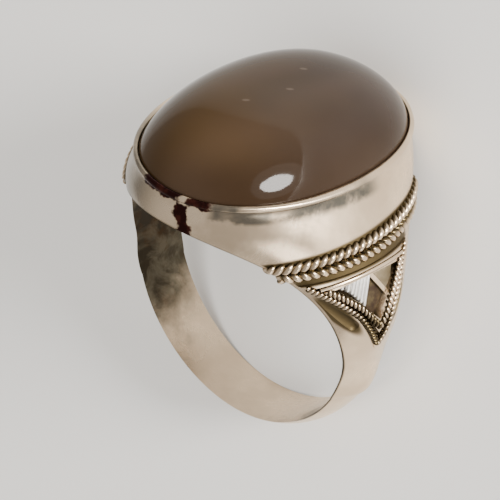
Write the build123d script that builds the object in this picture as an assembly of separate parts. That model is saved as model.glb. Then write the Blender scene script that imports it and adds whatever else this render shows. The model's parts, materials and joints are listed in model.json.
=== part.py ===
from build123d import *
from build123d.topology import SkipClean
from math import atan2, cos, degrees, pi, radians, sin, sqrt
import os

# A silver ring with a big oval cabochon, in millimetres.
# It is drawn upright: X across the ring, Y along the finger, Z up to the stone,
# with the finger hole's axis on Y. At the end it is laid on its side to rest.

# Finger hole and shank
bore_radius = 10.0
side_wall = 0.8
shank_wall = 0.68
back_wall = 0.85
shank_half_width = 2.1
shank_overlap = 0.1
shank_cover = 0.05
oval_power = 1.85

# Stone, as it shows inside the lip, and the ledge under the lip
stone_half_width = 7.06
stone_half_length = 10.31
stone_power = 2.155
dome_height = 3.8
girdle_overlap = 0.12
girdle_taper = 0.6
stone_gap = 0.05

# Collar that holds the stone
seat_floor = 0.6
seat_depth = 1.4
side_lip = 0.56
end_lip = 0.4

# Pattern on each shoulder: a flat drawing, leaning a little, pressed onto the wall.
# Its heights count from the finger's axis.
pattern_lean = 5.0
pattern_shift = -0.5

# Two wires side by side under the collar
rope_height = 8.3
rope_sag = 0.8
rope_reach = 8.2
wire_radius = 0.25
wire_offset = 0.34
wire_sink = 0.02

# The pointed frame of two wires, and the sunk field inside it
frame_top = 6.9
frame_arch = 0.42
frame_rim = 0.5
frame_half_width = 4.4
frame_point = 0.95
field_half_width = 2.75
field_point = 3.65
border_rise = 0.12
border_gap = 0.16
groove_depth = 0.1
field_depth = 0.5

# The ridge across the field
ridge_depth = 0.14
ridge_width = 0.3
ridge_lean = 30.0

# Leaf-shaped dent on each side of the frame
dent_radius = 0.5
dent_depth = 0.2
dent_low = 1.6
dent_low_height = 3.45
dent_high = 3.5
dent_high_height = 5.85

# What the sizes above give
rim_height = bore_radius + seat_floor + seat_depth
side_half_width = bore_radius + side_wall
collar_half_width = stone_half_width + side_lip
collar_half_length = stone_half_length + end_lip
far = 4 * side_half_width

# Outer walls from below the finger's axis up to the lip.
# height: share of the rim's height, swell: share of the way from the collar's
# half width to the side's, spread: share of the way from the shank's half width
# to the collar's half length, measured at the finger hole's wall, fullness: share of
# the way from the walls' oval to the stone's fuller one.
wall_rows = [
    {"height": -1 / 3, "swell": 0.72, "spread": 0.00, "fullness": 0.0},
    {"height": -1 / 6, "swell": 0.909, "spread": 0.012, "fullness": 0.0},
    {"height": 0, "swell": 1.0, "spread": 0.035, "fullness": 0.0},
    {"height": 1 / 6, "swell": 1.157, "spread": 0.105, "fullness": 0.0},
    {"height": 1 / 3, "swell": 1.145, "spread": 0.209, "fullness": 0.0},
    {"height": 1 / 2, "swell": 0.934, "spread": 0.376, "fullness": 0.0},
    {"height": 2 / 3, "swell": 0.623, "spread": 0.642, "fullness": 0.0},
    {"height": 5 / 6, "swell": 0.288, "spread": 1.05, "fullness": 0.05},
    {"height": 1, "swell": 0.0, "spread": 1.0, "fullness": 0.7},
]

# The stone's dome: reach is a share of its half axes, rise a share of its height.
dome_rows = [
    {"reach": 1.0, "rise": 0.0},
    {"reach": 0.97, "rise": 0.151},
    {"reach": 0.9, "rise": 0.375},
    {"reach": 0.8, "rise": 0.594},
    {"reach": 0.65, "rise": 0.804},
    {"reach": 0.4, "rise": 0.962},
    {"reach": 0.12, "rise": 0.999},
]

# Half widths of the frame and of the field, at shares of the way up from the point.
frame_rows = [
    {"up": 0.0, "frame": 0.0, "field": 0.0},
    {"up": 0.25, "frame": 0.136, "field": 0.20},
    {"up": 0.5, "frame": 0.285, "field": 0.40},
    {"up": 0.75, "frame": 0.59, "field": 0.67},
    {"up": 1.0, "frame": 1.0, "field": 1.0},
]


def oval(half_x, half_y, power, height):
    """A flat oval a little fuller or leaner than an ellipse, joined up at its end."""
    steps = 12
    points = []
    for step in range(steps):
        turn = pi / 3 + 2 * pi * step / steps
        c = cos(turn)
        s = sin(turn)
        x = half_x * abs(c) ** (2 / power) * (1 if c >= 0 else -1)
        y = half_y * abs(s) ** (2 / power) * (1 if s >= 0 else -1)
        points.append((x, y, height))
    return Face(Wire(Spline(*points, periodic=True)))


def wall_oval(row, level=0):
    """The outer wall's oval at one height, moved in or out by level."""
    height = row["height"] * rim_height
    half_x = collar_half_width + row["swell"] * (side_half_width - collar_half_width)
    reach = shank_half_width + row["spread"] * (collar_half_length - shank_half_width)
    hole = sqrt(max(bore_radius**2 - height**2, 0))
    power = oval_power + row["fullness"] * (stone_power - oval_power)
    half_y = reach / (1 - (hole / half_x) ** power) ** (1 / power)
    return oval(half_x + level, half_y + level, power, height)


def wall(level=0):
    """The shoulders and collar as one filled form, moved in or out by level."""
    return loft([wall_oval(row, level) for row in wall_rows])


def shank_section(turn, wall_there):
    """The low crown of the shank, where it is cut at an angle from the stone."""
    inside = bore_radius - side_wall / 2
    crown_radius = bore_radius + wall_there
    half = shank_half_width * sqrt((crown_radius - inside) / wall_there)
    out = (sin(turn), 0, cos(turn))
    round_the_ring = (-cos(turn), 0, sin(turn))
    crown = ThreePointArc((inside, -half), (crown_radius, 0), (inside, half))
    back = Line((inside, half), (inside, -half))
    return Plane(origin=(0, 0, 0), x_dir=out, z_dir=round_the_ring) * make_face(crown + back)


def shank():
    """The band under the finger, from one side of the walls round to the other."""
    height = wall_rows[0]["height"] * rim_height
    inside = sqrt((bore_radius - side_wall / 2) ** 2 - height**2)
    one_side = Pos(inside + far / 2, 0, height) * Box(far, far, 1)
    start = (wall_oval(wall_rows[0], shank_cover) & one_side).faces()[0]
    sections = [Pos(0, 0, shank_overlap) * start]
    for angle, wall_there in ((135, shank_wall), (157.5, (shank_wall + back_wall) / 2)):
        sections.append(shank_section(radians(angle), wall_there))
    back = shank_section(pi, back_wall)
    return loft([*sections, back, *[mirror(s, Plane.YZ) for s in reversed(sections)]])


def finger_hole():
    """What the finger hole takes away."""
    return Rot(90, 0, 0) * Cylinder(bore_radius, far)


def plain_ring():
    """Shank, shoulders and collar with the finger hole, before any pattern."""
    return wall() + shank() - finger_hole()


def stone_oval(extra, height):
    """The stone's outline at its girdle, larger by extra."""
    return oval(stone_half_width + extra, stone_half_length + extra, stone_power, height)


def seat():
    """The pocket for the stone, narrowing under the lip and open at the top."""
    floor = rim_height - seat_depth
    waist = rim_height - girdle_taper
    wide = girdle_overlap + stone_gap
    sides = [stone_oval(wide, floor), stone_oval(wide, waist), stone_oval(stone_gap, rim_height)]
    return loft(sides, ruled=True) + extrude(sides[-1], dome_height)


def cabochon():
    """The stone: a flat back, a girdle under the lip and a broad low dome."""
    back = rim_height - seat_depth + stone_gap
    waist = rim_height - girdle_taper
    wide = girdle_overlap
    girdle = [stone_oval(wide, back), stone_oval(wide, waist), stone_oval(0, rim_height)]
    dome = []
    for row in dome_rows:
        half_x = row["reach"] * stone_half_width
        half_y = row["reach"] * stone_half_length
        dome.append(oval(half_x, half_y, stone_power, rim_height + row["rise"] * dome_height))
    return loft(girdle, ruled=True) + loft(dome)


def outline(inset):
    """The frame's outline at inset 0, the field's at inset 1, and any between."""
    point = frame_point + inset * (field_point - frame_point)
    top = frame_top - inset * frame_rim
    left = []
    right = []
    for row in frame_rows:
        frame = row["frame"] * frame_half_width
        field = row["field"] * field_half_width
        half = frame + inset * (field - frame)
        height = point + row["up"] * (top - point)
        left.append((pattern_shift - half, height))
        right.append((pattern_shift + half, height))
    arch = ThreePointArc(left[-1], (pattern_shift, top + frame_arch), right[-1])
    return make_face(Polyline(*left) + arch + Polyline(*reversed(right)))


def stamp(drawing):
    """A drawing of the pattern pushed out sideways through the shoulder."""
    return Rot(pattern_lean, 0, 0) * extrude(Plane.YZ * drawing, far)


def layer(drawing, high, low):
    """A skin of the wall as large as the drawing, from one level to a lower one."""
    return (stamp(drawing) & wall(high)) - wall(low)


def sunk(drawing, depth):
    """What is taken away to sink the drawing under the wall."""
    return stamp(drawing) - wall(-depth)


def field_ridge():
    """A leaning ridge in the field, whose ends run on under the frame."""
    length = frame_top - field_point
    bar = Pos(0, -length / 2) * Rectangle(ridge_width, length)
    bar = Pos(pattern_shift, frame_top) * Rot(0, 0, ridge_lean) * bar
    return layer(bar, -ridge_depth, -2 * field_depth)


def on_wall(form, y, height, rise):
    """A point over a spot of the pattern, at a rise along the wall's normal."""
    spot = Vector(0, y, height).rotate(Axis.X, pattern_lean)
    line = Axis((far, spot.Y, spot.Z), (-1, 0, 0))
    hit, normal = max(form.find_intersection_points(line), key=lambda found: found[0].X)
    return hit + normal * rise


def rope_wire(form, offset):
    """One round wire laid under the collar from one edge of the band to the other."""
    steps = 6
    points = []
    for step in range(-steps, steps + 1):
        share = step / steps
        height = rope_height + offset - rope_sag * share**2
        points.append(on_wall(form, share * rope_reach, height, -wire_sink))
    path = Spline(*points)
    return sweep(Plane(origin=path @ 0, z_dir=path % 0) * Circle(wire_radius), path)


def dent(form, side):
    """A round-ended rod laid into the wall, deep at its low end."""
    low = on_wall(form, pattern_shift + side * dent_low, dent_low_height, dent_radius - dent_depth)
    high = on_wall(form, pattern_shift + side * dent_high, dent_high_height, dent_radius)
    rod = Plane(origin=low, z_dir=high - low)
    length = (high - low).length
    return rod * (Sphere(dent_radius) + Pos(0, 0, length / 2) * Cylinder(dent_radius, length))


def on_both_shoulders(*shapes):
    """Shapes on one shoulder, and their mirror images on the other."""
    return [*shapes, *[mirror(shape, Plane.YZ) for shape in shapes]]


def silver_body():
    """All of the soldered silver: ring, collar, wires, frames and fields."""
    form = wall()
    hole = finger_hole()
    groove = outline(0.5 - border_gap / 2) - outline(0.5 + border_gap / 2)
    frame = layer(outline(0), border_rise, -field_depth) - hole
    sinks = [sunk(outline(1), field_depth), sunk(groove, groove_depth)]
    sinks += [dent(form, side) for side in (-1, 1)]
    wires = [rope_wire(form, offset) - hole for offset in (wire_offset, -wire_offset)]
    ring = plain_ring() - seat() + on_both_shoulders(frame)
    ring -= on_both_shoulders(*sinks)
    ring += on_both_shoulders(field_ridge())
    return ring + on_both_shoulders(*wires)


def laid_down(shapes):
    """The shapes on their side, resting on the collar's end and the shank's edge."""
    line = Axis((0, far, bore_radius), (0, -1, 0))
    collar_end = max(found[0].Y for found in wall().find_intersection_points(line))
    tilt = degrees(atan2(collar_end - shank_half_width, 2 * bore_radius))
    turned = [Rot(0, 0, 180) * Rot(tilt - 90, 0, 0) * shape for shape in shapes]
    boxes = [shape.bounding_box() for shape in turned]
    low = [min(b.min.X for b in boxes), min(b.min.Y for b in boxes), min(b.min.Z for b in boxes)]
    high = [max(b.max.X for b in boxes), max(b.max.Y for b in boxes)]
    down = Pos(-(low[0] + high[0]) / 2, -(low[1] + high[1]) / 2, -low[2])
    return [down * shape for shape in turned]


if __name__ == "__main__":
    os.makedirs("parts", exist_ok=True)
    with SkipClean():
        silver, stone = laid_down([silver_body(), cabochon()])
    export_step(silver, "parts/silver_ring.step")
    export_step(stone, "parts/agate_cabochon.step")
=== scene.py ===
import json
from functools import reduce
from math import cos, pi, radians, sin

import bmesh
import bpy
import numpy as np
from bpy.props import FloatProperty, FloatVectorProperty, PointerProperty
from mathutils import Matrix, Vector
from mathutils.bvhtree import BVHTree
from mathutils.kdtree import KDTree


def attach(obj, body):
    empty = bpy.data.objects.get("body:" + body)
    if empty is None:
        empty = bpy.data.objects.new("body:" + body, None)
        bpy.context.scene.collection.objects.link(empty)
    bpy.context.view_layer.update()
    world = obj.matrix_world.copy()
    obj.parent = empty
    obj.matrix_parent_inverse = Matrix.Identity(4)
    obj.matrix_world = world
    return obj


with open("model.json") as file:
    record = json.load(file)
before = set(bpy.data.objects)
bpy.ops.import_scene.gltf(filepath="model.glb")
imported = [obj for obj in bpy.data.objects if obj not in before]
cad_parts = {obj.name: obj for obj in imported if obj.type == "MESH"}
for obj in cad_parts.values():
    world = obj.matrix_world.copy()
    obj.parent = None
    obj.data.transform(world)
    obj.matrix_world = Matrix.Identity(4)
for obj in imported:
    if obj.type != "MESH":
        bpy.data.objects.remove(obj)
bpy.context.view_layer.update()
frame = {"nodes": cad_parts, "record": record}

bl_info = {
    "name": "Silver Cabochon Ring",
    "version": (1, 0, 0),
    "blender": (4, 5, 0),
    "location": "3D View > Sidebar > Ring",
    "description": "Dresses a silver ring that holds a big oval agate",
    "category": "Object",
}

MM = 0.001

# The ring stands upright in its own frame: across it, along the finger, up to the stone.
HOLE = next(mount for mount in frame["record"]["mounts"] if mount["name"] == "finger_hole")
HOLE_CENTRE = Vector(HOLE["pos_m"])
ACROSS = Vector((-1, 0, 0))
ALONG = -Vector(HOLE["axis"]).normalized()
UP = ACROSS.cross(ALONG)
UPRIGHT = Matrix.Translation(HOLE_CENTRE) @ Matrix((ACROSS, ALONG, UP)).transposed().to_4x4()

# Both shoulders carry the same pattern, one the mirror image of the other.
SHOULDERS = {"right": 1, "left": -1}


def length(name, description, millimetres):
    """A length of the ring, given in millimetres."""
    return FloatProperty(
        name=name, description=description, default=millimetres * MM, precision=5, unit="LENGTH"
    )


def colour(name, description, default):
    """A colour of one of the ring's finishes."""
    return FloatVectorProperty(
        name=name, description=description, default=default, size=3, min=0, max=1, subtype="COLOR"
    )


class RopeSizes(bpy.types.PropertyGroup):
    """The two twisted wires side by side under the collar."""

    height: length("Height", "Height of their middle over the finger's axis", 8.32)
    sag: length("Sag", "How far both ends hang below the middle", 0.8)
    reach: length("Reach", "Half of their width along the finger", 8.2)
    offset: length("Offset", "From the middle to each wire", 0.385)
    depth: length("Depth", "From the plain wire's surface down to their middle", 0.28)
    radius: length("Radius", "Radius over both strands", 0.435)
    pitch: length("Pitch", "From one lobe to the next", 0.58)


class ShieldSizes(bpy.types.PropertyGroup):
    """The pointed frame on the shoulder and the field inside it."""

    lean: FloatProperty(
        name="Lean", description="Turn of the pattern about the ring's width",
        default=radians(5), subtype="ANGLE",
    )
    middle: length("Middle", "Place of the point along the finger", -0.5)
    top: length("Top", "Height of the frame's upper corners", 6.9)
    arch: length("Arch", "Rise of the frame's top between its corners", 0.42)
    rim: length("Rim", "Width of the frame at its top", 0.5)
    half_width: length("Half width", "From the middle to an upper corner", 4.4)
    point: length("Point", "Height of the frame's point", 0.95)
    field_half_width: length("Field half width", "From the middle to the field's corner", 2.75)
    field_point: length("Field point", "Height of the field's point", 3.65)
    wire_radius: length("Wire radius", "Radius of a border wire over both strands", 0.27)
    wire_pitch: length("Wire pitch", "From one lobe of a border wire to the next", 0.34)
    arch_radius: length("Arch radius", "Radius of the plain wire over the field", 0.16)
    rib_width: length("Rib width", "Width of a rib in the left half of the field", 0.27)


class CollarSizes(bpy.types.PropertyGroup):
    """The stone's outline and the lip around it."""

    stone_half_width: length("Stone half width", "Across the ring, inside the lip", 7.06)
    stone_half_length: length("Stone half length", "Along the finger, inside the lip", 10.31)
    side_lip: length("Side lip", "Width of the lip at the sides", 0.56)
    end_lip: length("End lip", "Width of the lip at the ends", 0.4)
    rim_height: length("Rim height", "From the finger's axis up to the lip", 12.0)
    fullness: FloatProperty(
        name="Fullness", description="Power of the stone's oval, 2 for an ellipse", default=2.155
    )
    outer_fullness: FloatProperty(
        name="Outer fullness", description="Power of the lip's outer oval", default=2.064
    )


class Finishes(bpy.types.PropertyGroup):
    """Colours of the metal, its tarnish, the shade and reflection painted on it, and the stone."""

    silver: colour("Silver", "Worn, warm silver", (0.87, 0.69, 0.495))
    silver_dull: colour("Dull silver", "Where it is rubbed less", (0.73, 0.57, 0.40))
    # Tarnish is also the colour of painted shade in the recesses, under the wires and between
    # their lobes.
    tarnish: colour("Tarnish", "In the recesses", (0.085, 0.062, 0.030))
    smoke: colour("Smoke", "Darkest tarnish on the inside", (0.022, 0.017, 0.010))
    rust: colour("Rust", "Brown tints on the inside", (0.040, 0.020, 0.006))
    moss: colour("Moss", "Paler, greenish tarnish on the inside", (0.13, 0.115, 0.082))
    # Painted reflection: the grey band under the lip.
    reflection_grey: colour("Haze", "Grey tarnish under the lip", (0.13, 0.12, 0.10))
    # A dark mark under the lip, redder in parts.
    lip_mark: colour("Stain", "Dark mark under the lip", (0.03, 0.010, 0.009))
    lip_mark_red: colour("Red stain", "Redder parts of that mark", (0.075, 0.022, 0.016))
    patina: colour("Patina", "Darkest parts of the field's floor", (0.035, 0.020, 0.012))
    olive: colour("Olive", "Darker tarnish of the facet", (0.13, 0.10, 0.058))
    olive_pale: colour("Pale olive", "Paler tarnish of the facet", (0.20, 0.165, 0.11))
    # Rib: the ribs' silver painted whiter as a highlight; Rib shadow: painted shade between them.
    rib: colour("Rib", "Bright silver of the ribs", (0.97, 0.95, 0.92))
    rib_shadow: colour("Rib shadow", "Between the ribs", (0.36, 0.29, 0.17))
    agate_warm: colour("Warm agate", "The stone's browner side", (0.050, 0.028, 0.011))
    agate_grey: colour("Grey agate", "The stone's greyer side", (0.030, 0.020, 0.015))
    # Dark agate: the stone's darker rim, and painted shade at its front and right.
    agate_dark: colour("Dark agate", "Along the stone's edge", (0.022, 0.012, 0.006))
    agate_band: colour("Agate band", "Faint paler bands in the stone", (0.16, 0.11, 0.08))
    fleck: colour("Fleck", "Small pale flecks in the stone", (0.16, 0.12, 0.09))
    floor: colour("Floor", "The pale floor", (0.80, 0.79, 0.77))


class StageSizes(bpy.types.PropertyGroup):
    """The camera, placed from the upright ring, and the lights."""

    distance: length("Distance", "From the hole's centre to the camera", 150)
    turn: FloatProperty(
        name="Turn", description="Round the ring, from the finger's direction",
        default=radians(39.90), subtype="ANGLE",
    )
    rise: FloatProperty(
        name="Rise", description="Above the finger", default=radians(35.96), subtype="ANGLE"
    )
    roll: FloatProperty(
        name="Roll", description="Of the camera about its view", default=radians(6.79),
        subtype="ANGLE",
    )
    lens: FloatProperty(
        name="Lens", description="Focal length of the camera", default=155.64, unit="CAMERA"
    )
    shift_x: FloatProperty(
        name="Shift X", description="Sideways shift of the camera's frame", default=-0.01824
    )
    shift_y: FloatProperty(
        name="Shift Y", description="Upward shift of the camera's frame", default=0.0558
    )
    key_power: FloatProperty(
        name="Key power", description="Of the small light that the stone mirrors",
        default=5.4, unit="POWER",
    )
    side_power: FloatProperty(
        name="Side power", description="Of the low light from the side",
        default=0.5, unit="POWER",
    )
    soft_power: FloatProperty(
        name="Soft power", description="Of the large soft light overhead",
        default=8.5, unit="POWER",
    )
    sky_strength: FloatProperty(
        name="Sky strength", description="Of the pale world round the ring", default=0.55
    )


SIZES = {
    "ring_ropes": RopeSizes,
    "ring_shields": ShieldSizes,
    "ring_collar": CollarSizes,
    "ring_finishes": Finishes,
    "ring_stage": StageSizes,
}

# Half widths of the frame and of the field, at shares of the way up from the point.
SHIELD_ROWS = [
    {"up": 0.0, "frame": 0.0, "field": 0.0},
    {"up": 0.25, "frame": 0.136, "field": 0.20},
    {"up": 0.5, "frame": 0.285, "field": 0.40},
    {"up": 0.75, "frame": 0.59, "field": 0.67},
    {"up": 1.0, "frame": 1.0, "field": 1.0},
]

# Ends of the leaf-shaped dents beside the frame, where shade is painted: out from its middle, and
# up, in millimetres.
LEAF_ENDS = [{"out": 1.2, "up": 2.75}, {"out": 3.5, "up": 5.9}]
LEAF_HALF_WIDTH = 0.5

# The dark mark under the lip, from and to across the ring, in millimetres.
LIP_MARK_PATCHES = [(-1.6, 1.5), (2.05, 3.5)]
LIP_MARK_STEM = (1.2, 2.1)

# Small pale flecks in the stone, from the hole's centre, in millimetres.
FLECKS = [
    {"across": -0.05, "along": -3.35},
    {"across": 0.83, "along": -0.16},
    {"across": -0.41, "along": 2.49},
]

# The two wires of a border: place from the frame's outline, 0, to the field's, 1, and hand.
BORDER_WIRES = [{"inset": 0.2, "hand": 1}, {"inset": 0.78, "hand": -1}]
ARCH_INSET = 0.62

# A strand's radius as a share of its wire's: over half, so that both strands join.
STRAND_SHARE = 0.52

# How much painted shade and tarnish the wires get between their lobes; larger is darker. The left
# legs get more painted shade and the right legs less, as if one side were lit.
ROPE_PAINTED_SHADE = 1.1
BORDER_PAINTED_SHADE = {"left": 1.25, "right": 0.8}

# Lower ends of the ribs in the left half of the field, in millimetres.
RIB_ENDS = [
    (-2.78, 6.26), (-2.47, 6.06), (-2.16, 5.85), (-1.95, 5.64),
    (-1.80, 5.42), (-1.64, 5.16), (-1.48, 4.88), (-1.30, 4.58),
]
RIB_TOP = 6.76
RIB_HEIGHT = 0.38
RIB_LEAN = radians(23)

# Corners of the facet in the right half of the field, and how far each stands out of it.
FACET = [
    {"y": -0.1, "z": 6.68, "rise": 0.16},
    {"y": 2.1, "z": 6.6, "rise": 0.4},
    {"y": 1.32, "z": 5.75, "rise": 0.36},
    {"y": 0.7, "z": 5.15, "rise": 0.22},
]
FACET_THICKNESS = 0.4

# The lip's cross section: share of its width from the stone, and height in millimetres.
LIP_PROFILE = [
    {"share": 1.00, "height": -0.30},
    {"share": 1.10, "height": -0.16},
    {"share": 1.09, "height": -0.04},
    {"share": 0.96, "height": 0.055},
    {"share": 0.68, "height": 0.11},
    {"share": 0.36, "height": 0.115},
    {"share": 0.14, "height": 0.07},
    {"share": 0.04, "height": 0.01},
    {"share": 0.04, "height": -0.22},
]

# The spot of the stone that mirrors the key light, and the way from there to the light.
GLARE_SPOT = Vector((-5.39, -6.5, 16.74)) * MM
GLARE_WAY = Vector((-0.843, -0.477, 0.248)).normalized()

# Places and sizes of the lights, in metres; the glow lies just behind the key light.
KEY_LIGHT = {"away": 0.5, "size": (0.17, 0.20)}
KEY_GLOW = {"away": 0.52, "size": (0.40, 0.36), "share": 0.1}
SIDE_LIGHT = {"spot": Vector((-0.54, 0.21, 0.06)), "size": (0.3, 0.16)}
SOFT_LIGHT = {"spot": Vector((-0.3, 0.2, 0.9)), "size": (0.9, 0.9)}
LIGHT_COLOUR = (1, 0.97, 0.93)
RING_MIDDLE = Vector((0, 0, 10 * MM))
FLOOR_HALF_SIZE = 1.5


def silver_tree():
    """The packed silver as a tree for casting rays at it."""
    mesh = frame["nodes"]["silver_ring"].data
    corners = [vertex.co for vertex in mesh.vertices]
    return BVHTree.FromPolygons(corners, [face.vertices for face in mesh.polygons])


def shoulder_place(side):
    """The pattern's frame on one shoulder: X outwards, Y along the finger, Z up."""
    lean = bpy.context.scene.ring_shields.lean
    flip = Matrix.Diagonal((SHOULDERS[side], 1, 1, 1))
    return UPRIGHT @ flip @ Matrix.Rotation(lean, 4, "X")


def touch(tree, place, y, height):
    """Where the shoulder's surface is, over one spot of the pattern, if it's there at all."""
    start = place @ Vector((30 * MM, y, height))
    reach = 25 * MM
    spot, normal, _, _ = tree.ray_cast(start, place.to_3x3() @ Vector((-1, 0, 0)), reach)
    return spot, normal


def smoothed(vectors, rounds):
    """The same row of vectors with its small steps evened out, its ends kept."""
    for _ in range(rounds):
        inner = zip(vectors, vectors[1:], vectors[2:])
        vectors = [vectors[0], *[(a + 2 * b + c) / 4 for a, b, c in inner], vectors[-1]]
    return vectors


def even_steps(points, normals, step):
    """Points and normals along a path, one step apart."""
    runs = [(b - a).length for a, b in zip(points, points[1:])]
    total = sum(runs)
    count = max(2, round(total / step))
    even = []
    index = 0
    gone = 0
    for number in range(count + 1):
        along = total * number / count
        while index < len(runs) - 1 and gone + runs[index] < along:
            gone += runs[index]
            index += 1
        share = (along - gone) / runs[index]
        normal = normals[index].lerp(normals[index + 1], share).normalized()
        even.append((points[index].lerp(points[index + 1], share), normal))
    return even


def tube_mesh(name, strands, radius, roundness):
    """Round strands as one mesh, each along its own points."""
    curve = bpy.data.curves.new(name, "CURVE")
    curve.dimensions = "3D"
    curve.bevel_depth = radius
    curve.bevel_resolution = roundness
    curve.use_fill_caps = True
    for points in strands:
        spline = curve.splines.new("POLY")
        spline.points.add(len(points) - 1)
        for place, point in zip(spline.points, points):
            place.co = (*point, 1)
    holder = bpy.data.objects.new(name + "_path", curve)
    bpy.context.collection.objects.link(holder)
    bpy.context.view_layer.update()
    shown = holder.evaluated_get(bpy.context.evaluated_depsgraph_get())
    mesh = bpy.data.meshes.new_from_object(shown)
    bpy.data.objects.remove(holder)
    return mesh


def mark_crests(mesh, points, normals, radius):
    """Stores how far each vertex stands out over the wires' middle, as a share of their radius."""
    tree = KDTree(len(points))
    for index, point in enumerate(points):
        tree.insert(point, index)
    tree.balance()
    rise = mesh.attributes.new("rise", "FLOAT", "POINT")
    for vertex, entry in zip(mesh.vertices, rise.data):
        point, index, _ = tree.find(vertex.co)
        entry.value = (vertex.co - point).dot(normals[index]) / radius


def place_piece(name, mesh, material):
    """A finished mesh as a piece that rides on the ring."""
    for face in mesh.polygons:
        face.use_smooth = True
    mesh.materials.clear()
    mesh.materials.append(material)
    mesh.name = name
    piece = bpy.data.objects.new(name, mesh)
    bpy.context.collection.objects.link(piece)
    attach(piece, "root")
    return piece


def mesh_from(name, bm, place):
    """A bmesh of the pattern's frame as a mesh in the ring's place."""
    bmesh.ops.transform(bm, matrix=place, verts=bm.verts)
    bmesh.ops.recalc_face_normals(bm, faces=bm.faces)
    mesh = bpy.data.meshes.new(name)
    bm.to_mesh(mesh)
    bm.free()
    return mesh


def twisted_strands(points, normals, radius, pitch, hand):
    """Two strands laid round each other along a path; hand is 1 or -1."""
    steps_per_lobe = 9
    even = even_steps(points, normals, pitch / steps_per_lobe)
    strands = [[], []]
    for number, (point, normal) in enumerate(even):
        before = even[max(number - 1, 0)][0]
        after = even[min(number + 1, len(even) - 1)][0]
        along = (after - before).normalized()
        beside = along.cross(normal).normalized()
        out = beside.cross(along)
        for index, strand in enumerate(strands):
            turn = hand * pi * number / steps_per_lobe + index * pi
            strand.append(point + (out * cos(turn) + beside * sin(turn)) * radius / 2)
    return strands


class Nodes:
    """Short ways to lay out the nodes of one material."""

    def __init__(self, name):
        self.material = bpy.data.materials.new(name)
        self.material.use_nodes = True
        self.tree = self.material.node_tree
        self.shader = self.tree.nodes["Principled BSDF"]

    def put(self, socket, value):
        """A link for a socket, or a plain value."""
        if isinstance(value, bpy.types.NodeSocket):
            self.tree.links.new(value, socket)
        elif hasattr(socket.default_value, "__len__") and len(socket.default_value) == 4:
            socket.default_value = (*value, 1)
        else:
            socket.default_value = value

    def add(self, kind, *values, **settings):
        """A new node with its first sockets filled in order."""
        node = self.tree.nodes.new(kind)
        for key, value in settings.items():
            setattr(node, key, value)
        for socket, value in zip(node.inputs, values):
            self.put(socket, value)
        return node

    def math(self, operation, *values):
        """The result of one operation on numbers."""
        return self.add("ShaderNodeMath", *values, operation=operation).outputs[0]

    def chain(self, operation, values):
        """The result of one operation along a row of numbers."""
        return reduce(lambda first, second: self.math(operation, first, second), values)

    def times(self, *values):
        """Numbers multiplied."""
        return self.chain("MULTIPLY", values)

    def plus(self, *values):
        """Numbers added up."""
        return self.chain("ADD", values)

    def minus(self, first, second):
        """One number less another."""
        return self.math("SUBTRACT", first, second)

    def largest(self, *values):
        """The largest of some numbers."""
        return self.chain("MAXIMUM", values)

    def dot(self, vector, axis):
        """A vector's share along an axis."""
        return self.add("ShaderNodeVectorMath", vector, axis, operation="DOT_PRODUCT").outputs[1]

    def ramp(self, value, low, high):
        """0 at low, 1 at high, smooth between; low may be the larger."""
        node = self.add("ShaderNodeMapRange", value, interpolation_type="SMOOTHSTEP")
        flip = low > high
        for name, number in (
            ("From Min", min(low, high)), ("From Max", max(low, high)),
            ("To Min", 1.0 if flip else 0.0), ("To Max", 0.0 if flip else 1.0),
        ):
            node.inputs[name].default_value = number
        return node.outputs[0]

    def window(self, value, low, high, soft):
        """1 between low and high, 0 outside, with soft edges."""
        rise = self.ramp(value, low - soft, low + soft)
        return self.times(rise, self.ramp(value, high + soft, high - soft))

    def mix(self, share, first, second):
        """A colour between two."""
        node = self.add("ShaderNodeMix", data_type="RGBA")
        self.put(node.inputs["Factor"], share)
        # Inputs 6 and 7 and output 2 are the node's colours; the others are for other data.
        self.put(node.inputs[6], first)
        self.put(node.inputs[7], second)
        return node.outputs[2]

    def noise(self, vector, scale, detail=4.0, rough=0.55, distortion=0.0):
        """Cloudy noise; scale is per metre."""
        node = self.add("ShaderNodeTexNoise", vector)
        node.inputs["Scale"].default_value = scale
        node.inputs["Detail"].default_value = detail
        node.inputs["Roughness"].default_value = rough
        node.inputs["Distortion"].default_value = distortion
        return node.outputs[0]

    def recess(self, reach, open_sky, no_sky):
        """1 where other surfaces hide all but no_sky of the view outwards, 0 at open_sky."""
        shade = self.add("ShaderNodeAmbientOcclusion", samples=12)
        shade.inputs["Distance"].default_value = reach
        return self.ramp(shade.outputs["AO"], open_sky, no_sky)

    def set(self, **values):
        """Sockets of the shader by name, with _ for a space."""
        for name, value in values.items():
            self.put(self.shader.inputs[name.replace("_", " ")], value)

    def bump(self, height, strength, distance):
        """The surface raised a little by a height, in metres."""
        node = self.add("ShaderNodeBump")
        node.inputs["Strength"].default_value = strength
        node.inputs["Distance"].default_value = distance
        self.tree.links.new(height, node.inputs["Height"])
        return node.outputs[0]


def ring_coordinates(nodes):
    """The spot itself, and across, along and up from the hole's centre, in millimetres."""
    spot = nodes.add("ShaderNodeTexCoord").outputs["Object"]
    moved = nodes.add("ShaderNodeVectorMath", spot, HOLE_CENTRE, operation="SUBTRACT").outputs[0]
    return spot, [nodes.dot(moved, axis / MM) for axis in (ACROSS, ALONG, UP)]


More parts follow.
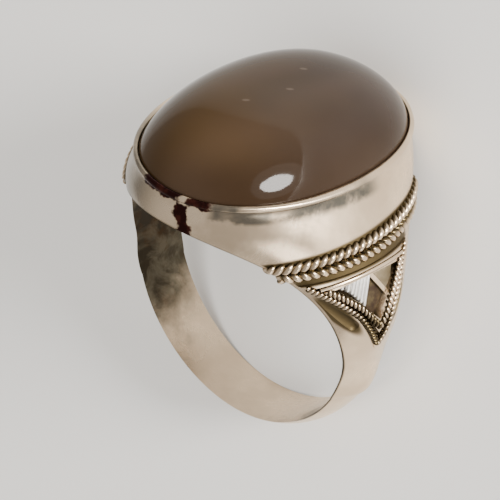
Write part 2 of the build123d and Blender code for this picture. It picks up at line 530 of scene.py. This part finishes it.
def silver_wear(nodes, spot):
    """Soft unevenness and fine scratches of worn silver: colour, roughness, bump."""
    look = bpy.context.scene.ring_finishes
    clouds = nodes.noise(spot, scale=260, detail=5.0, rough=0.6)
    fine = nodes.noise(spot, scale=2600, detail=3.0, rough=0.6)
    stretched = nodes.add("ShaderNodeMapping", spot)
    stretched.inputs["Scale"].default_value = (1, 1, 14)
    scratches = nodes.noise(
        stretched.outputs[0], scale=900, detail=6.0, rough=0.7, distortion=0.4
    )
    base = nodes.mix(nodes.ramp(clouds, 0.62, 0.38), look.silver, look.silver_dull)
    uneven = nodes.times(nodes.ramp(clouds, 0.3, 0.75), 0.10)
    rough = nodes.plus(nodes.times(scratches, 0.14), uneven, 0.13)
    height = nodes.plus(nodes.times(scratches, 0.5), fine)
    return base, rough, height


def under_ropes(nodes, across, y, height):
    """1 in the band that the twisted wires cover, on both shoulders: painted shade under the
    wires.
    """
    rope = bpy.context.scene.ring_ropes
    share = nodes.math("DIVIDE", y, rope.reach / MM)
    middle = nodes.minus(rope.height / MM, nodes.times(share, share, rope.sag / MM))
    away = nodes.math("ABSOLUTE", nodes.minus(height, middle))
    on_shoulder = nodes.ramp(nodes.math("ABSOLUTE", across), 3.2, 3.6)
    return nodes.times(nodes.ramp(away, 1.0, 0.75), on_shoulder)


def under_arch(nodes, y, height):
    """1 in the narrow band between the frame's top and the twisted wires: a painted shadow under
    the wires.
    """
    shield = bpy.context.scene.ring_shields
    share = nodes.math("DIVIDE", nodes.minus(y, shield.middle / MM), 4.5)
    level = nodes.plus(height, nodes.times(share, share, shield.arch / MM))
    low = (shield.top + shield.arch) / MM
    band = nodes.window(level, low - 0.12, low + 0.75, 0.08)
    return nodes.times(band, nodes.ramp(nodes.math("ABSOLUTE", share), 1.12, 0.98))


def in_leaf(nodes, y, height, side):
    """1 in the leaf-shaped dent on one side of the frame: painted shade in the dent."""
    middle = bpy.context.scene.ring_shields.middle / MM
    low, high = (Vector((middle + side * end["out"], end["up"])) for end in LEAF_ENDS)
    centre = (low + high) / 2
    way = (high - low).normalized()
    dy = nodes.minus(y, centre.x)
    dz = nodes.minus(height, centre.y)
    along = nodes.plus(nodes.times(dy, way.x), nodes.times(dz, way.y))
    beside = nodes.minus(nodes.times(dy, way.y), nodes.times(dz, way.x))
    along = nodes.math("DIVIDE", along, (high - low).length / 2)
    beside = nodes.math("DIVIDE", beside, LEAF_HALF_WIDTH)
    far = nodes.plus(nodes.math("POWER", along, 2), nodes.math("POWER", beside, 2))
    return nodes.ramp(far, 1.7, 0.7)


def lip_dark_mark(nodes, across, along, up, spot):
    """1 on the dark mark under the lip at the stone's front, and down from it."""
    ragged = nodes.minus(nodes.noise(spot, scale=1700, detail=3.0), 0.5)
    height = nodes.plus(up, nodes.times(ragged, 0.8))
    moved = nodes.plus(across, nodes.times(ragged, 0.9))
    patches = nodes.plus(*(nodes.window(moved, low, high, 0.12) for low, high in LIP_MARK_PATCHES))
    patches = nodes.times(nodes.ramp(height, 11.5, 11.62), patches)
    spread = nodes.times(nodes.ramp(up, 11.1, 10.0), 0.6)
    stem = nodes.window(nodes.minus(moved, spread), *LIP_MARK_STEM, 0.08)
    stem = nodes.times(stem, nodes.ramp(height, 11.65, 11.5))
    return nodes.times(nodes.largest(patches, stem), nodes.ramp(along, -6, -7))


def lip_painted_reflection(nodes, across, along, up, spot):
    """A painted reflection: the patchy grey under the lip, along the right, at the front, and
    fainter on the left.
    """
    cloud = nodes.ramp(nodes.noise(spot, scale=600, detail=4.0, rough=0.6), 0.2, 0.55)
    edge = nodes.plus(up, nodes.times(cloud, 0.35))
    right = nodes.times(
        nodes.window(edge, 11.35, 12.25, 0.25),
        nodes.ramp(across, 3, 4.5),
        nodes.ramp(along, 2.2, 0.2),
        nodes.plus(0.35, nodes.times(cloud, 0.65)),
        nodes.plus(0.5, nodes.times(nodes.ramp(along, -7.0, -4.5), 0.5)),
    )
    left = nodes.times(
        nodes.ramp(across, 1.5, -3.0),
        nodes.ramp(along, -3.0, -7.0),
        nodes.plus(0.62, nodes.times(cloud, 0.25)),
    )
    spared_lip = nodes.times(nodes.ramp(up, 11.72, 11.84), nodes.ramp(across, 4.6, 5.0))
    front = nodes.times(
        nodes.window(edge, 11.2, 12.5, 0.15),
        nodes.window(across, 3.4, 6.1, 0.3),
        nodes.ramp(along, -5.5, -6.8),
        nodes.minus(1, spared_lip),
        nodes.plus(0.5, nodes.times(cloud, 0.4)),
    )
    return nodes.largest(right, left, front)


def smoky_inside(nodes, spot, along, up, radius):
    """The mottled tarnish on the finger hole's wall: its share and its colour."""
    look = bpy.context.scene.ring_finishes
    mottle = nodes.noise(spot, scale=420, detail=5.0, rough=0.6, distortion=0.4)
    patchy = nodes.times(nodes.minus(mottle, 0.5), 5)
    level = nodes.plus(up, nodes.minus(patchy, nodes.times(along, 0.5)))
    under_collar = nodes.times(nodes.ramp(up, 1.5, 6.0), 0.45)
    share = nodes.minus(nodes.ramp(level, -8.8, -4.6), under_collar)
    share = nodes.times(nodes.ramp(radius, 10.12, 10.04), share)
    tint = nodes.ramp(nodes.noise(spot, scale=520, detail=3.0), 0.5, 0.66)
    blotch = nodes.noise(spot, scale=480, detail=4.0, rough=0.65, distortion=0.6)
    pale = nodes.plus(
        nodes.times(nodes.ramp(along, -1.6, 2.2), 0.4),
        nodes.times(nodes.ramp(up, 0.0, -6.5), 0.4),
        nodes.times(nodes.minus(nodes.ramp(blotch, 0.38, 0.64), 0.4), 0.7),
    )
    return share, nodes.mix(pale, nodes.mix(tint, look.smoke, look.rust), look.moss)


def ring_silver():
    """Worn silver of the ring's body: smoky inside; painted shade and tarnish in its recesses,
    painted shade under the wires and in the dents, a painted reflection under the lip.
    """
    look = bpy.context.scene.ring_finishes
    lean = bpy.context.scene.ring_shields.lean
    nodes = Nodes("worn_silver_and_painted_light")
    spot, (across, along, up) = ring_coordinates(nodes)
    y = nodes.plus(nodes.times(along, cos(lean)), nodes.times(up, sin(lean)))
    z = nodes.minus(nodes.times(up, cos(lean)), nodes.times(along, sin(lean)))
    radius = nodes.plus(nodes.math("POWER", across, 2), nodes.math("POWER", up, 2))
    radius = nodes.math("SQRT", radius)

    base, rough, height = silver_wear(nodes, spot)
    inside, smoke = smoky_inside(nodes, spot, along, up, radius)
    base = nodes.mix(nodes.times(inside, 0.98), base, smoke)
    # Painted reflection under the lip.
    base = nodes.mix(lip_painted_reflection(nodes, across, along, up, spot), base, look.reflection_grey)
    # Painted shade: under the twisted wires, under the frame's top and in the leaf-shaped dents.
    marks = nodes.largest(
        under_ropes(nodes, across, y, z),
        under_arch(nodes, y, z),
        in_leaf(nodes, y, z, -1),
        in_leaf(nodes, y, z, 1),
    )
    marks = nodes.times(marks, nodes.ramp(radius, 10.1, 10.2))
    # Painted shade and tarnish in every recess, added to the painted shade marks above.
    dark = nodes.largest(marks, nodes.recess(0.7 * MM, open_sky=0.8, no_sky=0.35))
    base = nodes.mix(dark, base, look.tarnish)
    # The dark mark under the lip and down from it, redder in parts.
    redder = nodes.ramp(nodes.noise(spot, scale=1300, detail=3.0), 0.48, 0.66)
    lip_mark = nodes.mix(redder, look.lip_mark, look.lip_mark_red)
    base = nodes.mix(lip_dark_mark(nodes, across, along, up, spot), base, lip_mark)
    rough = nodes.plus(rough, nodes.times(nodes.largest(dark, inside), 0.3))
    nodes.set(Base_Color=base, Roughness=rough, Metallic=1.0)
    nodes.set(Normal=nodes.bump(height, 0.25, 0.012 * MM))
    return nodes.material


def wire_silver():
    """Bright silver of the twisted wires, painted shade and tarnish brown where they meet, more
    painted shade lower down.
    """
    look = bpy.context.scene.ring_finishes
    nodes = Nodes("wire_silver")
    spot, (_, _, up) = ring_coordinates(nodes)
    base, rough, height = silver_wear(nodes, spot)
    # Painted shade: the lower the wire, the darker it is between its lobes.
    rubbed = nodes.plus(0.5, nodes.times(nodes.ramp(up, 3.2, 5.4), 0.5))
    crest = nodes.add("ShaderNodeAttribute", attribute_name="rise").outputs["Fac"]
    valley = nodes.ramp(nodes.times(crest, rubbed), 0.92, 0.35)
    dark = nodes.largest(nodes.recess(0.3 * MM, open_sky=0.85, no_sky=0.3), valley)
    base = nodes.mix(dark, base, look.tarnish)
    nodes.set(Base_Color=base, Roughness=rough, Metallic=1.0)
    nodes.set(Normal=nodes.bump(height, 0.2, 0.008 * MM))
    return nodes.material


def rib_silver_highlight():
    """Satin silver of the raised ribs without tarnish, painted whiter as a highlight, with painted
    shade between them.
    """
    look = bpy.context.scene.ring_finishes
    nodes = Nodes("rib_silver_highlight")
    spot = nodes.add("ShaderNodeTexCoord").outputs["Object"]
    fine = nodes.noise(spot, scale=2600, detail=3.0, rough=0.6)
    dark = nodes.recess(0.2 * MM, open_sky=0.5, no_sky=0.15)
    base = nodes.mix(dark, look.rib, look.rib_shadow)
    rough = nodes.plus(0.28, nodes.times(fine, 0.1))
    nodes.set(Base_Color=base, Roughness=rough, Metallic=0.85)
    nodes.set(Normal=nodes.bump(fine, 0.15, 0.008 * MM))
    return nodes.material


def dark_patina():
    """Brown-black tarnish on the floor of the field."""
    look = bpy.context.scene.ring_finishes
    nodes = Nodes("dark_patina")
    spot = nodes.add("ShaderNodeTexCoord").outputs["Object"]
    mottle = nodes.noise(spot, scale=1800, detail=4.0, rough=0.6)
    base = nodes.mix(nodes.ramp(mottle, 0.3, 0.7), look.patina, look.tarnish)
    nodes.set(Base_Color=base, Roughness=0.5, Metallic=0.7)
    nodes.set(Normal=nodes.bump(mottle, 0.4, 0.02 * MM))
    return nodes.material


def olive_silver():
    """Smooth silver under an even olive tarnish."""
    look = bpy.context.scene.ring_finishes
    nodes = Nodes("olive_silver")
    spot = nodes.add("ShaderNodeTexCoord").outputs["Object"]
    mottle = nodes.noise(spot, scale=1200, detail=4.0, rough=0.6)
    base = nodes.mix(nodes.ramp(mottle, 0.3, 0.7), look.olive, look.olive_pale)
    nodes.set(Base_Color=base, Roughness=0.38, Metallic=0.9)
    nodes.set(Normal=nodes.bump(mottle, 0.2, 0.01 * MM))
    return nodes.material


def agate_edge(nodes, across, along):
    """1 along the stone's edge at its front and right, faint along the rest: a faint darker rim
    all round, and painted shade at the front and right.
    """
    collar = bpy.context.scene.ring_collar
    wide = nodes.math("DIVIDE", across, collar.stone_half_width / MM)
    long = nodes.math("DIVIDE", along, collar.stone_half_length / MM)
    out = nodes.plus(nodes.math("POWER", wide, 2), nodes.math("POWER", long, 2))
    right = nodes.minus(nodes.times(along, 0.35), across)
    front = nodes.times(nodes.ramp(right, 1.0, -6.0), 0.8)
    return nodes.times(nodes.ramp(out, 0.42, 0.95), nodes.plus(0.12, front))


def polished_agate():
    """Grey-brown agate: warmer on one side, darker at its edge and with painted shade at its front
    and right, with faint bands.
    """
    look = bpy.context.scene.ring_finishes
    nodes = Nodes("polished_agate")
    spot, (across, along, _) = ring_coordinates(nodes)
    clouds = nodes.noise(spot, scale=110, detail=3.0, rough=0.5, distortion=0.3)
    slant = nodes.plus(
        nodes.times(across, 0.75),
        nodes.times(along, 0.6),
        nodes.times(nodes.minus(clouds, 0.5), 7),
    )
    base = nodes.mix(nodes.ramp(slant, -6.5, 6.0), look.agate_warm, look.agate_grey)
    # The darker rim, and painted shade at the front and right.
    base = nodes.mix(agate_edge(nodes, across, along), base, look.agate_dark)
    bands = nodes.add("ShaderNodeTexWave", spot)
    for name, number in (("Scale", 55), ("Distortion", 5), ("Detail", 3), ("Detail Scale", 1.2)):
        bands.inputs[name].default_value = number
    base = nodes.mix(nodes.times(bands.outputs[1], 0.07), base, look.agate_band)
    for fleck in FLECKS:
        dx = nodes.minus(across, fleck["across"])
        dy = nodes.minus(along, fleck["along"])
        long_way = nodes.times(nodes.plus(dx, dy), 2.2)
        short_way = nodes.times(nodes.minus(dx, dy), 4.5)
        away = nodes.plus(nodes.math("POWER", long_way, 2), nodes.math("POWER", short_way, 2))
        base = nodes.mix(nodes.times(nodes.ramp(away, 1.0, 0.2), 0.35), base, look.fleck)
    nodes.set(Base_Color=base, Roughness=0.07, IOR=1.25)
    return nodes.material


class RING_OT_body(bpy.types.Operator):
    """Gives the ring's body and the stone their finishes."""

    bl_idname = "ring.body"
    bl_label = "Body and Stone"

    def execute(self, context):
        finishes = {"silver_ring": ring_silver(), "agate_cabochon": polished_agate()}
        for node, material in finishes.items():
            mesh = frame["nodes"][node].data
            mesh.materials.clear()
            mesh.materials.append(material)
        return {"FINISHED"}


def oval_point(collar, share, turn, height):
    """A point between the stone's outline, share 0, and the collar's, share 1."""
    half_x = collar.stone_half_width + share * collar.side_lip
    half_y = collar.stone_half_length + share * collar.end_lip
    power = collar.fullness + share * (collar.outer_fullness - collar.fullness)
    c = cos(turn)
    s = sin(turn)
    x = half_x * abs(c) ** (2 / power) * (1 if c >= 0 else -1)
    y = half_y * abs(s) ** (2 / power) * (1 if s >= 0 else -1)
    return Vector((x, y, collar.rim_height + height))


class RING_OT_lip(bpy.types.Operator):
    """Makes the rounded lip that is rubbed over the stone's edge."""

    bl_idname = "ring.lip"
    bl_label = "Lip"

    def execute(self, context):
        collar = context.scene.ring_collar
        steps = 160
        bm = bmesh.new()
        first = bmesh.ops.create_circle(bm, segments=steps, radius=1)["verts"]
        turns = [2 * pi * number / steps for number in range(steps)]
        rings = [first]
        for _ in LIP_PROFILE[1:]:
            loop = [edge for edge in bm.edges if all(vert in rings[-1] for vert in edge.verts)]
            made = bmesh.ops.extrude_edge_only(bm, edges=loop)["geom"]
            verts = [item for item in made if isinstance(item, bmesh.types.BMVert)]
            rings.append(verts)
        for row, verts in zip(LIP_PROFILE, rings):
            for turn, vert in zip(turns, verts):
                vert.co = oval_point(collar, row["share"], turn, row["height"] * MM)
        ends = [edge for edge in bm.edges if edge.is_boundary]
        bmesh.ops.bridge_loops(bm, edges=ends)
        bmesh.ops.subdivide_edges(bm, edges=bm.edges, cuts=1, use_grid_fill=True)
        mesh = mesh_from("bezel_lip", bm, UPRIGHT)
        place_piece("bezel_lip", mesh, bpy.data.materials["worn_silver_and_painted_light"])
        return {"FINISHED"}


class RING_OT_ropes(bpy.types.Operator):
    """Makes the twisted wires under the collar, one of each hand on each shoulder."""

    bl_idname = "ring.ropes"
    bl_label = "Twisted Wires"

    def execute(self, context):
        rope = context.scene.ring_ropes
        tree = silver_tree()
        silver = wire_silver()
        steps = 60
        for side in SHOULDERS:
            place = shoulder_place(side)
            for name, hand in (("upper", 1), ("lower", -1)):
                points = []
                normals = []
                for number in range(steps + 1):
                    share = 2 * number / steps - 1
                    height = rope.height + hand * rope.offset - rope.sag * share**2
                    spot, normal = touch(tree, place, share * rope.reach * 0.985, height)
                    if spot is not None:
                        points.append(spot - normal * rope.depth)
                        normals.append(normal)
                points = smoothed(points, 3)
                normals = smoothed(normals, 6)
                way = -hand * SHOULDERS[side]
                strands = twisted_strands(points, normals, rope.radius, rope.pitch, way)
                title = f"rope_{name}_{side}"
                mesh = tube_mesh(title, strands, rope.radius * STRAND_SHARE, 3)
                mark_crests(mesh, points, normals, rope.radius * ROPE_PAINTED_SHADE)
                place_piece(title, mesh, silver)
        return {"FINISHED"}


def shield_half(shield, up, inset):
    """Half width of the frame's outline at inset 0, of the field's at inset 1."""
    frame_half = shield.half_width
    field_half = shield.field_half_width
    for low, high in zip(SHIELD_ROWS, SHIELD_ROWS[1:]):
        if up <= high["up"]:
            share = (up - low["up"]) / (high["up"] - low["up"])
            frame_half *= low["frame"] + share * (high["frame"] - low["frame"])
            field_half *= low["field"] + share * (high["field"] - low["field"])
            break
    return frame_half + inset * (field_half - frame_half)


def leg_path(shield, tree, place, side, inset, sink):
    """The middle of one border wire, from its upper corner down to the point."""
    steps = 40
    point = shield.point + inset * (shield.field_point - shield.point)
    top = shield.top - inset * shield.rim
    points = []
    normals = []
    for number in range(steps + 1):
        up = 1 - number / steps
        y = shield.middle + side * shield_half(shield, up, inset)
        spot, normal = touch(tree, place, y, point + up * (top - point))
        points.append(spot - normal * sink)
        normals.append(normal)
    return smoothed(points, 4), smoothed(normals, 8)


class RING_OT_borders(bpy.types.Operator):
    """Makes the twisted border wires of both frames and the plain wire over each field."""

    bl_idname = "ring.borders"
    bl_label = "Border Wires"

    def execute(self, context):
        shield = context.scene.ring_shields
        tree = silver_tree()
        silver = bpy.data.materials["wire_silver"]
        for shoulder in SHOULDERS:
            place = shoulder_place(shoulder)
            for side, leg in ((-1, "left"), (1, "right")):
                strands = []
                middles = []
                outwards = []
                for wire in BORDER_WIRES:
                    points, normals = leg_path(
                        shield, tree, place, side, wire["inset"], 0.04 * MM
                    )
                    way = wire["hand"] * side * SHOULDERS[shoulder]
                    strands += twisted_strands(
                        points, normals, shield.wire_radius, shield.wire_pitch, way
                    )
                    middles += points
                    outwards += normals
                title = f"border_wires_{leg}_{shoulder}"
                mesh = tube_mesh(title, strands, shield.wire_radius * STRAND_SHARE, 2)
                mark_crests(mesh, middles, outwards, shield.wire_radius * BORDER_PAINTED_SHADE[leg])
                place_piece(title, mesh, silver)
            points, normals = self.arch(shield, tree, place)
            title = f"arch_wire_{shoulder}"
            mesh = tube_mesh(title, [points], shield.arch_radius, 3)
            mark_crests(mesh, points, normals, shield.arch_radius)
            place_piece(title, mesh, silver)
        return {"FINISHED"}

    def arch(self, shield, tree, place):
        """The middle of the plain wire along the frame's top."""
        steps = 30
        half = shield_half(shield, 1, ARCH_INSET)
        points = []
        normals = []
        for number in range(steps + 1):
            share = 2 * number / steps - 1
            height = shield.top - ARCH_INSET * shield.rim + shield.arch * (1 - share**2)
            spot, normal = touch(tree, place, shield.middle + share * half, height)
            points.append(spot)
            normals.append(normal)
        return smoothed(points, 3), smoothed(normals, 6)


def field_floor(shield, tree, place):
    """The field's floor as a smooth function of the place in the pattern."""
    back = place.inverted()
    rows = []
    depths = []
    for up_step in range(3, 19):
        up = up_step / 20
        height = shield.field_point + up * (shield.top - shield.rim - shield.field_point)
        half = shield_half(shield, up, 1) * 0.8
        for step in range(9):
            y = shield.middle + half * (step / 4 - 1)
            spot, _ = touch(tree, place, y, height)
            u = y / MM
            v = height / MM
            rows.append((1, u, v, u * u, u * v, v * v))
            depths.append((back @ spot).x)
    rows = np.array(rows)
    depths = np.array(depths)
    keep = np.ones(len(depths), bool)
    for _ in range(6):
        found = np.linalg.lstsq(rows[keep], depths[keep], rcond=None)[0]
        away = depths - rows @ found
        keep = (away < 0.04 * MM) & (away > -0.08 * MM)
    return lambda y, z: float(
        np.dot(found, (1, y / MM, z / MM, (y / MM) ** 2, y * z / MM**2, (z / MM) ** 2))
    )


def add_bar(bm, start, end, width, height):
    """A round-edged bar from one spot of the floor to another."""
    way = end - start
    side = Vector((1, 0, 0)).cross(way).normalized()
    out = way.normalized().cross(side)
    if out.x < 0:
        out = -out
    made = bmesh.ops.create_cube(bm, size=1)["verts"]
    turn = Matrix((out, side, way.normalized())).transposed().to_4x4()
    scale = Matrix.Diagonal((height, width, way.length, 1))
    middle = (start + end) / 2 + out * height / 2
    bmesh.ops.transform(bm, matrix=Matrix.Translation(middle) @ turn @ scale, verts=made)
    edges = {edge for vert in made for edge in vert.link_edges}
    bmesh.ops.bevel(
        bm, geom=list(edges), offset=width * 0.4, segments=3, profile=0.5, affect="EDGES",
        material=-1, clamp_overlap=True, offset_type="OFFSET",
    )


class RING_OT_fields(bpy.types.Operator):
    """Fills both fields: dark floor, a fan of ribs on the left, a smooth facet right."""

    bl_idname = "ring.fields"
    bl_label = "Fields"

    def execute(self, context):
        shield = context.scene.ring_shields
        tree = silver_tree()
        patina = dark_patina()
        olive = olive_silver()
        silver = rib_silver_highlight()
        for shoulder in SHOULDERS:
            place = shoulder_place(shoulder)
            floor = field_floor(shield, tree, place)
            mesh = self.floor(shield, floor, place)
            place_piece(f"field_floor_{shoulder}", mesh, patina)
            mesh = self.ribs(shield, floor, place)
            place_piece(f"field_ribs_{shoulder}", mesh, silver)
            mesh = self.facet(floor, place)
            place_piece(f"field_facet_{shoulder}", mesh, olive)
        return {"FINISHED"}

    def floor(self, shield, floor, place):
        """A thin dark skin on the field's floor."""
        steps = 14
        skin = 0.015 * MM
        bm = bmesh.new()
        bmesh.ops.create_grid(bm, x_segments=steps, y_segments=steps, size=1)
        for vert in bm.verts:
            across = vert.co.x
            up = max((vert.co.y + 1) / 2, 0.06)
            y = shield.middle + across * shield_half(shield, up, 1) * 0.98
            z = shield.field_point + up * (shield.top - shield.rim - shield.field_point)
            z += shield.arch * (1 - across**2) * up
            vert.co = Vector((floor(y, z) + skin, y, z))
        made = bmesh.ops.extrude_face_region(bm, geom=bm.faces)["geom"]
        lower = [item for item in made if isinstance(item, bmesh.types.BMVert)]
        bmesh.ops.translate(bm, vec=(-6 * skin, 0, 0), verts=lower)
        return mesh_from("field_floor", bm, place)

    def ribs(self, shield, floor, place):
        """The fan of ribs, side by side, from the field's top to its left leg."""
        bm = bmesh.new()
        for y_low, z_low in RIB_ENDS:
            y_high = y_low + (RIB_TOP - z_low) * sin(RIB_LEAN) / cos(RIB_LEAN)
            ends = []
            for y, z in ((y_low * MM, z_low * MM), (y_high * MM, RIB_TOP * MM)):
                ends.append(Vector((floor(y, z), y, z)))
            add_bar(bm, ends[0], ends[1], shield.rib_width, RIB_HEIGHT * MM)
        return mesh_from("field_ribs", bm, place)

    def facet(self, floor, place):
        """The smooth, slanting facet on the right."""
        bm = bmesh.new()
        top = []
        for corner in FACET:
            y = corner["y"] * MM
            z = corner["z"] * MM
            top.append(bm.verts.new((floor(y, z) + corner["rise"] * MM, y, z)))
        face = bm.faces.new(top)
        made = bmesh.ops.extrude_face_region(bm, geom=[face])["geom"]
        lower = [item for item in made if isinstance(item, bmesh.types.BMVert)]
        bmesh.ops.translate(bm, vec=(-FACET_THICKNESS * MM, 0, 0), verts=lower)
        upper = [edge for edge in bm.edges if all(vert in top for vert in edge.verts)]
        bmesh.ops.bevel(
            bm, geom=upper, offset=0.04 * MM, segments=2, profile=0.5, affect="EDGES",
            material=-1, clamp_overlap=True, offset_type="OFFSET",
        )
        return mesh_from("field_facet", bm, place)


def add_light(name, spot, target, size, power, mirrored=True):
    """An oval soft light at a spot, facing a target; shiny surfaces show it if mirrored."""
    light = bpy.data.lights.new(name, "AREA")
    light.shape = "ELLIPSE"
    light.size, light.size_y = size
    light.energy = power
    light.color = LIGHT_COLOUR
    holder = bpy.data.objects.new(name, light)
    bpy.context.collection.objects.link(holder)
    holder.location = spot
    holder.rotation_euler = (target - spot).to_track_quat("-Z", "Y").to_euler()
    holder.visible_glossy = mirrored


class RING_OT_stage(bpy.types.Operator):
    """Lays the pale floor and sets the camera and the soft lights."""

    bl_idname = "ring.stage"
    bl_label = "Stage"

    def execute(self, context):
        stage = context.scene.ring_stage
        look = context.scene.ring_finishes
        bm = bmesh.new()
        bmesh.ops.create_grid(bm, x_segments=1, y_segments=1, size=FLOOR_HALF_SIZE)
        mesh = bpy.data.meshes.new("floor")
        bm.to_mesh(mesh)
        bm.free()
        nodes = Nodes("floor_paper")
        nodes.set(Base_Color=look.floor, Roughness=0.85)
        mesh.materials.append(nodes.material)
        floor = bpy.data.objects.new("floor", mesh)
        context.collection.objects.link(floor)
        self.camera(context, stage)
        self.lights(context, stage)
        return {"FINISHED"}

    def camera(self, context, stage):
        """The camera at the photograph's angle to the ring."""
        c = cos(stage.rise)
        back = Vector((sin(stage.turn) * c, -cos(stage.turn) * c, sin(stage.rise)))
        right = Vector((cos(stage.turn), sin(stage.turn), 0))
        above = back.cross(right)
        rolled_right = right * cos(stage.roll) + above * sin(stage.roll)
        rolled_above = above * cos(stage.roll) - right * sin(stage.roll)
        turn = Matrix((rolled_right, rolled_above, back)).transposed().to_4x4()
        data = bpy.data.cameras.new("camera")
        data.lens = stage.lens
        data.sensor_width = 36
        data.shift_x = stage.shift_x
        data.shift_y = stage.shift_y
        data.clip_start = 0.01
        data.clip_end = 20
        camera = bpy.data.objects.new("camera", data)
        context.collection.objects.link(camera)
        camera.matrix_world = UPRIGHT @ Matrix.Translation(back * stage.distance) @ turn
        context.scene.camera = camera

    def lights(self, context, stage):
        """A small light that the stone mirrors, soft light all round, a pale world."""
        key = GLARE_SPOT + GLARE_WAY * KEY_LIGHT["away"]
        glow = GLARE_SPOT + GLARE_WAY * KEY_GLOW["away"]
        glow_power = stage.key_power * KEY_GLOW["share"]
        side = SIDE_LIGHT["spot"] + RING_MIDDLE
        above = SOFT_LIGHT["spot"]
        add_light("key_light", key, GLARE_SPOT, KEY_LIGHT["size"], stage.key_power)
        add_light("key_glow", glow, GLARE_SPOT, KEY_GLOW["size"], glow_power)
        add_light("side_light", side, RING_MIDDLE, SIDE_LIGHT["size"], stage.side_power)
        add_light("soft_top", above, RING_MIDDLE, SOFT_LIGHT["size"], stage.soft_power, False)
        world = bpy.data.worlds.new("studio")
        world.use_nodes = True
        sky = world.node_tree.nodes["Background"]
        sky.inputs["Color"].default_value = (*LIGHT_COLOUR, 1)
        sky.inputs["Strength"].default_value = stage.sky_strength
        context.scene.world = world


class RING_PT_panel(bpy.types.Panel):
    """Lists the ring's sizes, finishes and pieces."""

    bl_idname = "RING_PT_panel"
    bl_label = "Ring"
    bl_space_type = "VIEW_3D"
    bl_region_type = "UI"
    bl_category = "Ring"

    def draw(self, context):
        for operator in OPERATORS:
            self.layout.operator(operator.bl_idname)
        for name, group in SIZES.items():
            box = self.layout.box()
            box.label(text=group.__doc__)
            for key in group.__annotations__:
                box.prop(getattr(context.scene, name), key)


OPERATORS = (
    RING_OT_body, RING_OT_lip, RING_OT_ropes, RING_OT_borders, RING_OT_fields, RING_OT_stage
)
CLASSES = (*SIZES.values(), *OPERATORS, RING_PT_panel)


def register():
    """Registers the classes and hangs the sizes on the scene."""
    for item in CLASSES:
        bpy.utils.register_class(item)
    for name, group in SIZES.items():
        setattr(bpy.types.Scene, name, PointerProperty(type=group))


def unregister():
    """Takes the sizes off the scene and the classes out again."""
    for name in SIZES:
        delattr(bpy.types.Scene, name)
    for item in reversed(CLASSES):
        bpy.utils.unregister_class(item)


def main():
    """Builds every piece in order."""
    register()
    bpy.ops.ring.body()
    bpy.ops.ring.lip()
    bpy.ops.ring.ropes()
    bpy.ops.ring.borders()
    bpy.ops.ring.fields()
    bpy.ops.ring.stage()


if __name__ == "__main__":
    main()
